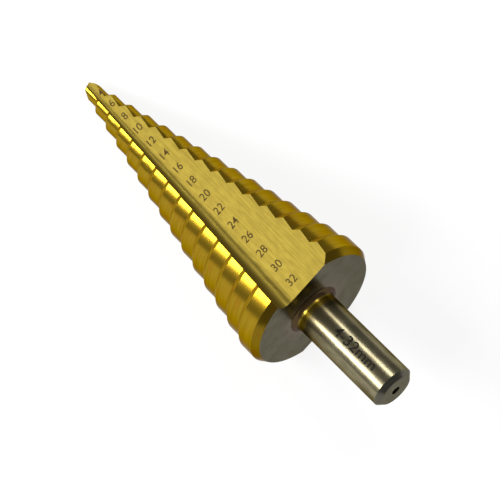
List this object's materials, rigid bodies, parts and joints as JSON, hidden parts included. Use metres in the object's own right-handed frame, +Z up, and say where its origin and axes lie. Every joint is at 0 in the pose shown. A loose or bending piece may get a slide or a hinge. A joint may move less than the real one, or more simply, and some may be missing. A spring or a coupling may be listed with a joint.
{
  "type": "step drill",
  "caption": "One-piece step drill for sheet metal, a stepped cone with two straight flutes on a plain round shank, lying on the edges of its lower flute.",
  "frame": {"origin": "centre of the bounding box at the ground on which the drill lies", "axes": "+X from the point towards the shank along the ground, +Z up from the ground; the drill's own axis is in the XZ plane and climbs by about 9.7 degrees towards the shank"},
  "size_m": [0.1022, 0.032, 0.0286],
  "materials": {
    "coated_steel": "ground, with a gold nitride coating on the cutting head"
  },
  "bodies": {
    "root": {"step_drill": "coated_steel"}
  },
  "joints": []
}
